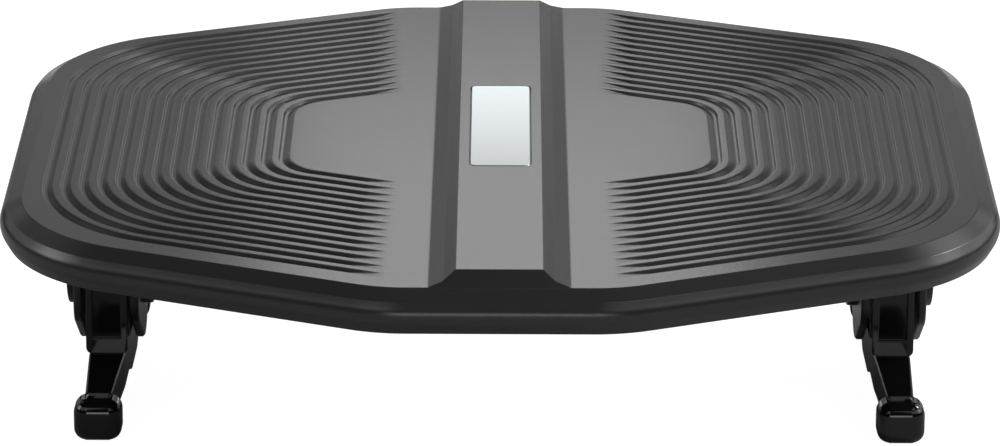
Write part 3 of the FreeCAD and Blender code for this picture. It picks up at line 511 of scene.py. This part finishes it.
def build_deck():
    sheet = Sheet()
    add_rim(sheet)
    for side in (1, -1):
        sheet.fill([border_loop(side), add_treads(sheet, side)], 0)
    add_hump(sheet)
    add_underside(sheet)
    return place(sheet.make("deck_shell", DECK), "deck", "deck_tray", "deck")


def place(piece, body, node, slot):
    """Say which body a piece rides on and which node it stands for. The slot argument is not used."""
    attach(piece, body)
    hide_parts(node)
    return piece


def quarter_turns(steps):
    return [math.pi / 2 * k / steps for k in range(steps + 1)]


def toe_levels():
    """Inset and height of every level of a toe, from its sole to its top."""
    turns = quarter_turns(8)
    sole = [(SOLE_ROUND * (1 - math.sin(a)), SKID_LOW + SOLE_ROUND * (1 - math.cos(a))) for a in turns]
    top = [(TOE_ROUND * (1 - math.cos(a)), TOE_HEIGHT - TOE_ROUND * (1 - math.sin(a))) for a in turns]
    return sole + top


def toe_ring(inset, z, side):
    """One level of a toe: from its back, round the blunt front, to its back again."""
    half = TOE_HALF - inset
    radius = max(TOE_ROUND - inset, 0.01)
    end = TOE_END - inset
    right = [(half, TOE_BACK)]
    for angle in quarter_turns(8):
        right.append((half - radius + radius * math.cos(angle), end - radius + radius * math.sin(angle)))
    ring = right + [(-x, y) for x, y in reversed(right)]
    return [(x, side * y, z) for x, y in ring]


def add_toe(sheet, side):
    rings = [toe_ring(inset, z, side) for inset, z in toe_levels()]
    sheet.grid(rings, flip=side < 0)
    sheet.grid([[ring[0], ring[-1]] for ring in rings], flip=side > 0)
    sheet.fill([[p[:2] for p in rings[0]]], rings[0][0][2], up=False)
    sheet.fill([[p[:2] for p in rings[-1]]], rings[-1][0][2])


def bar_section(y, low):
    """Rounded section of the ground bar at one place along it."""
    share = min(max((abs(y) - NECK_START) / (NECK_END - NECK_START), 0), 1)
    half = SKID_HALF + share * (NECK_HALF - SKID_HALF)
    fall = max((abs(y) - NECK_START) / (BAR_END - NECK_START), 0)
    high = SEAT_HEIGHT + fall * (TOE_HEIGHT - 0.6 - SEAT_HEIGHT)
    ring = []
    for sx, sz, start in ((1, 1, 0), (-1, 1, 90), (-1, -1, 180), (1, -1, 270)):
        edge = high if sz > 0 else low
        for k in range(5):
            angle = math.radians(start + 90 * k / 4)
            x = sx * (half - BAR_ROUND) + BAR_ROUND * math.cos(angle)
            ring.append((x, y, edge - sz * BAR_ROUND + BAR_ROUND * math.sin(angle)))
    return ring


def add_bar(sheet):
    """Ground bar between the toes, arched in front of the column."""
    places = [(-BAR_END, SKID_LOW), (-NECK_END, SKID_LOW), (-ARCH_FOOT, SKID_LOW), (-ARCH_START, ARCH_HEIGHT),
              (-NECK_START, ARCH_HEIGHT), (-ARCH_END, ARCH_HEIGHT), (ARCH_END, SKID_LOW),
              (NECK_START, SKID_LOW), (NECK_END, SKID_LOW), (BAR_END, SKID_LOW)]
    for a, b in zip(places, places[1:]):
        sheet.grid([bar_section(*a), bar_section(*b)], closed=True)


def build_skid(side, name):
    sheet = Sheet()
    add_bar(sheet)
    add_toe(sheet, 1)
    add_toe(sheet, -1)
    leg = MM @ Matrix.Translation((side * LEG_X, AXIS_SET_BACK, 0))
    return place(sheet.make("skid_shell_" + name, leg), name + "_leg", "skid_" + name, "legs")


def build_cap(side, out, name, node):
    """Round cap on one cheek, on the outer or the inner side of a leg."""
    sheet = Sheet()
    line = rounded([(0, CAP_THICKNESS), (CAP_RADIUS, CAP_THICKNESS), (CAP_RADIUS, 0)], (CAP_ROUND,), 4)
    rows = []
    for radius, far in line[1:]:
        x = out * (CHEEK_FACE + far)
        turns = [math.tau * k / 96 for k in range(96)]
        rows.append([(x, radius * math.cos(a), radius * math.sin(a)) for a in turns])
    sheet.grid(rows, closed=True, flip=out > 0)
    base = len(sheet.points)
    sheet.points += [Vector(p) for p in rows[0]]
    face = list(range(base, base + len(rows[0])))
    sheet.faces.append(face if out > 0 else face[::-1])
    piece = sheet.make(node + "_shell_" + name, tilted(side * LEG_X, 0))
    return place(piece, "deck", node + "_" + name, "caps")


def build_legs():
    gloss = []
    caps = []
    for side, name in ((1, "right"), (-1, "left")):
        gloss.append(build_skid(side, name))
        caps.append(build_cap(side, side, name, "pivot_cap"))
        caps.append(build_cap(side, -side, name, "nut_cap"))
    return gloss, caps


def new_material(name, color, roughness, coat=0.0):
    material = bpy.data.materials.new(name)
    material.use_nodes = True
    shader = material.node_tree.nodes["Principled BSDF"]
    shader.inputs["Base Color"].default_value = (*color, 1)
    shader.inputs["Roughness"].default_value = roughness
    shader.inputs["Coat Weight"].default_value = coat
    return material


def add_grain(material, scale, strength, distance):
    """Fine moulded grain as a bump on object coordinates."""
    tree = material.node_tree
    coords = tree.nodes.new("ShaderNodeTexCoord")
    noise = tree.nodes.new("ShaderNodeTexNoise")
    noise.inputs["Scale"].default_value = scale
    noise.inputs["Detail"].default_value = 3
    bump = tree.nodes.new("ShaderNodeBump")
    bump.inputs["Strength"].default_value = strength
    bump.inputs["Distance"].default_value = distance
    tree.links.new(coords.outputs["Object"], noise.inputs["Vector"])
    tree.links.new(noise.outputs["Fac"], bump.inputs["Height"])
    tree.links.new(bump.outputs["Normal"], tree.nodes["Principled BSDF"].inputs["Normal"])


def soften_edges(material, radius):
    """Catch the light along the edges of a moulding as a small rounding would."""
    tree = material.node_tree
    bevel = tree.nodes.new("ShaderNodeBevel")
    bevel.samples = 6
    bevel.inputs["Radius"].default_value = radius
    tree.links.new(bevel.outputs["Normal"], tree.nodes["Principled BSDF"].inputs["Normal"])


def paint(piece, material):
    piece.data.materials.clear()
    piece.data.materials.append(material)


def deck_plastic():
    material = new_material("satin_black", (0.028, 0.028, 0.029), 0.25)
    add_grain(material, 2500, 0.15, 0.0002)
    return material


def silver_plate_painted_sheen():
    """Brushed silver with a painted sheen: its colour is painted paler towards the back of the plate and
    darker towards the front.
    """
    material = new_material("silver_plate_painted_sheen", SILVER_PAINTED_SHADE_FRONT, 0.3)
    tree = material.node_tree
    shader = tree.nodes["Principled BSDF"]
    shader.inputs["Metallic"].default_value = 1
    bounds = [Vector(corner).y for corner in frame["nodes"]["badge_plate"].bound_box]
    coords = tree.nodes.new("ShaderNodeTexCoord")
    parts = tree.nodes.new("ShaderNodeSeparateXYZ")
    painted_sheen_share = tree.nodes.new("ShaderNodeMapRange")
    painted_sheen_share.inputs["From Min"].default_value = min(bounds)
    painted_sheen_share.inputs["From Max"].default_value = max(bounds)
    # Painted sheen: the base colour runs from the darker front tone to the paler back tone along the plate.
    painted_sheen_blend = tree.nodes.new("ShaderNodeMix")
    painted_sheen_blend.data_type = "RGBA"
    painted_sheen_blend.inputs["A"].default_value = (*SILVER_PAINTED_SHADE_FRONT, 1)
    painted_sheen_blend.inputs["B"].default_value = (*SILVER_PAINTED_LIT_BACK, 1)
    tree.links.new(coords.outputs["Object"], parts.inputs["Vector"])
    tree.links.new(parts.outputs["Y"], painted_sheen_share.inputs["Value"])
    tree.links.new(painted_sheen_share.outputs["Result"], painted_sheen_blend.inputs["Factor"])
    tree.links.new(painted_sheen_blend.outputs["Result"], shader.inputs["Base Color"])
    return material


def finish_nodes():
    """Give every carried over CAD node its own finish."""
    black = new_material("bracket_black", (0.016, 0.016, 0.017), 0.32)
    soften_edges(black, 0.0006)
    gloss = new_material("gloss_black", (0.006, 0.006, 0.0065), 0.1)
    soften_edges(gloss, 0.0008)
    steel = new_material("zinc_steel", (0.5, 0.5, 0.51), 0.3)
    steel.node_tree.nodes["Principled BSDF"].inputs["Metallic"].default_value = 1
    pale = new_material("acetal", (0.7, 0.69, 0.65), 0.4)
    rubber = new_material("rubber", (0.02, 0.02, 0.02), 0.75)
    tape = new_material("tape", (0.5, 0.5, 0.48), 0.6)
    looks = {"deck": deck_plastic(), "badge": silver_plate_painted_sheen(), "tape": tape, "bracket": black, "caps": black,
             "legs": gloss, "steel": steel, "washer": pale, "rubber": rubber}
    slots = {row["node"]: row["material_slot"] for row in frame["record"]["subparts"]}
    for name, node in frame["nodes"].items():
        paint(node, looks[slots[name]])
    return looks


def add_camera():
    data = bpy.data.cameras.new("camera")
    data.sensor_width = 36
    data.lens = CAMERA_LENS
    data.clip_start = 0.1
    camera = bpy.data.objects.new("camera", data)
    camera.location = CAMERA_PLACE
    camera.rotation_euler = [math.radians(a) for a in CAMERA_TURN]
    bpy.context.scene.collection.objects.link(camera)
    bpy.context.scene.camera = camera


def add_floor():
    mesh = bpy.data.meshes.new("floor")
    reach = FLOOR_REACH
    corners = [(-reach, -reach, 0), (reach, -reach, 0), (reach, reach, 0), (-reach, reach, 0)]
    mesh.from_pydata(corners, [], [(0, 1, 2, 3)])
    floor = bpy.data.objects.new("floor", mesh)
    bpy.context.scene.collection.objects.link(floor)
    paint(floor, floor_material())


def floor_material():
    """Floor: white with a faint shadow to the camera, darker in what the part reflects."""
    material = bpy.data.materials.new("floor_white")
    material.use_nodes = True
    tree = material.node_tree
    tree.nodes.clear()
    matt = tree.nodes.new("ShaderNodeBsdfDiffuse")
    matt.inputs["Color"].default_value = (FLOOR_SEEN, FLOOR_SEEN, FLOOR_SEEN, 1)
    glow = tree.nodes.new("ShaderNodeEmission")
    glow.inputs["Strength"].default_value = FLOOR_GLOW
    seen = tree.nodes.new("ShaderNodeMixShader")
    seen.inputs["Fac"].default_value = FLOOR_SHARE
    dark = tree.nodes.new("ShaderNodeBsdfDiffuse")
    dark.inputs["Color"].default_value = (FLOOR_MIRRORED, FLOOR_MIRRORED, FLOOR_MIRRORED, 1)
    path = tree.nodes.new("ShaderNodeLightPath")
    choice = tree.nodes.new("ShaderNodeMixShader")
    out = tree.nodes.new("ShaderNodeOutputMaterial")
    tree.links.new(glow.outputs["Emission"], seen.inputs[1])
    tree.links.new(matt.outputs["BSDF"], seen.inputs[2])
    tree.links.new(path.outputs["Is Camera Ray"], choice.inputs["Fac"])
    tree.links.new(dark.outputs["BSDF"], choice.inputs[1])
    tree.links.new(seen.outputs["Shader"], choice.inputs[2])
    tree.links.new(choice.outputs["Shader"], out.inputs["Surface"])
    return material


def add_panel(name, azimuth, elevation, distance, width, height, power):
    """Soft panel aimed at the part; azimuth runs from straight behind the part to the right."""
    turn = math.radians(azimuth)
    rise = math.radians(elevation)
    away = Vector((math.cos(rise) * math.sin(turn), math.cos(rise) * math.cos(turn), math.sin(rise)))
    data = bpy.data.lights.new(name, "AREA")
    data.shape = "RECTANGLE"
    data.size = width
    data.size_y = height
    data.energy = power
    lamp = bpy.data.objects.new(name, data)
    lamp.location = Vector((0, 0, LIGHT_AIM)) + away * distance
    lamp.rotation_euler = (-away).to_track_quat("-Z", "Y").to_euler()
    bpy.context.scene.collection.objects.link(lamp)


def add_world():
    """White background that only the camera sees."""
    world = bpy.data.worlds.new("studio")
    bpy.context.scene.world = world
    world.use_nodes = True
    tree = world.node_tree
    background = tree.nodes["Background"]
    background.inputs["Color"].default_value = (1, 1, 1, 1)
    path = tree.nodes.new("ShaderNodeLightPath")
    tree.links.new(path.outputs["Is Camera Ray"], background.inputs["Strength"])


def add_lights():
    """Soft panels: low ones behind for the flats, others for the grooves' flanks, the crest and the legs."""
    add_panel("back_far_left", -70, 18, FAR, 1, 1, 2.2)
    add_panel("back_left", -45, 18, FAR, 1, 1, 1.8)
    add_panel("back", 0, 18, FAR, 2, 1, 2)
    add_panel("low_left", -24, 10, FAR, 0.6, 0.6, 0.3)
    add_panel("grazing_left", -16, 2, FAR, 0.5, 0.25, 0.5)
    add_panel("low_right", 24, 10, FAR, 0.6, 0.6, 0.3)
    add_panel("grazing_right", 16, 2, FAR, 0.5, 0.25, 0.5)
    add_panel("back_right", 45, 18, FAR, 1, 1, 3.5)
    add_panel("back_far_right", 70, 18, FAR, 1, 1, 5)
    add_panel("near_low", 0, 24, NEAR, 0.3, 0.3, 0.13)
    add_panel("near_left", -26, 27, 0.85, 0.25, 0.25, 0.06)
    add_panel("near_right", 26, 27, 0.85, 0.25, 0.25, 0.06)
    add_panel("near_front", 0, 37, NEAR, 0.3, 0.3, 0.5)
    add_panel("near_high", 0, 48, NEAR, 0.4, 0.3, 0.15)
    add_panel("high_left", -55, 45, FAR, 1, 1, 1)
    add_panel("high_back", 0, 45, FAR, 1, 1, 1.2)
    add_panel("high_right", 55, 45, FAR, 1, 1, 4)
    add_panel("top_back", 0, 70, FAR, 1, 1, 1.6)
    add_panel("side_left", -95, 24, FAR, 1, 1, 12)
    add_panel("side_right", 95, 24, FAR, 1, 1, 12)
    add_panel("crest_right", 74, 42, FAR, 0.5, 0.5, 20)
    add_panel("front_far_left", -125, 30, FAR, 1, 1, 2.5)
    add_panel("front_far_right", 125, 30, FAR, 1, 1, 4.5)
    add_panel("front_left", -155, 35, FAR, 1, 1, 3.6)
    add_panel("front_right", 155, 35, FAR, 1, 1, 3)
    add_panel("front_low", 180, 5, FAR, 1.2, 0.5, 6)
    add_panel("front_top", 135, 62, FAR, 1, 1, 5)


bpy.context.scene.view_settings.view_transform = "Standard"
add_camera()
add_floor()
add_world()
add_lights()
looks = finish_nodes()
paint(build_deck(), looks["deck"])
skids, caps = build_legs()
for piece in skids:
    paint(piece, looks["legs"])
for piece in caps:
    paint(piece, looks["caps"])
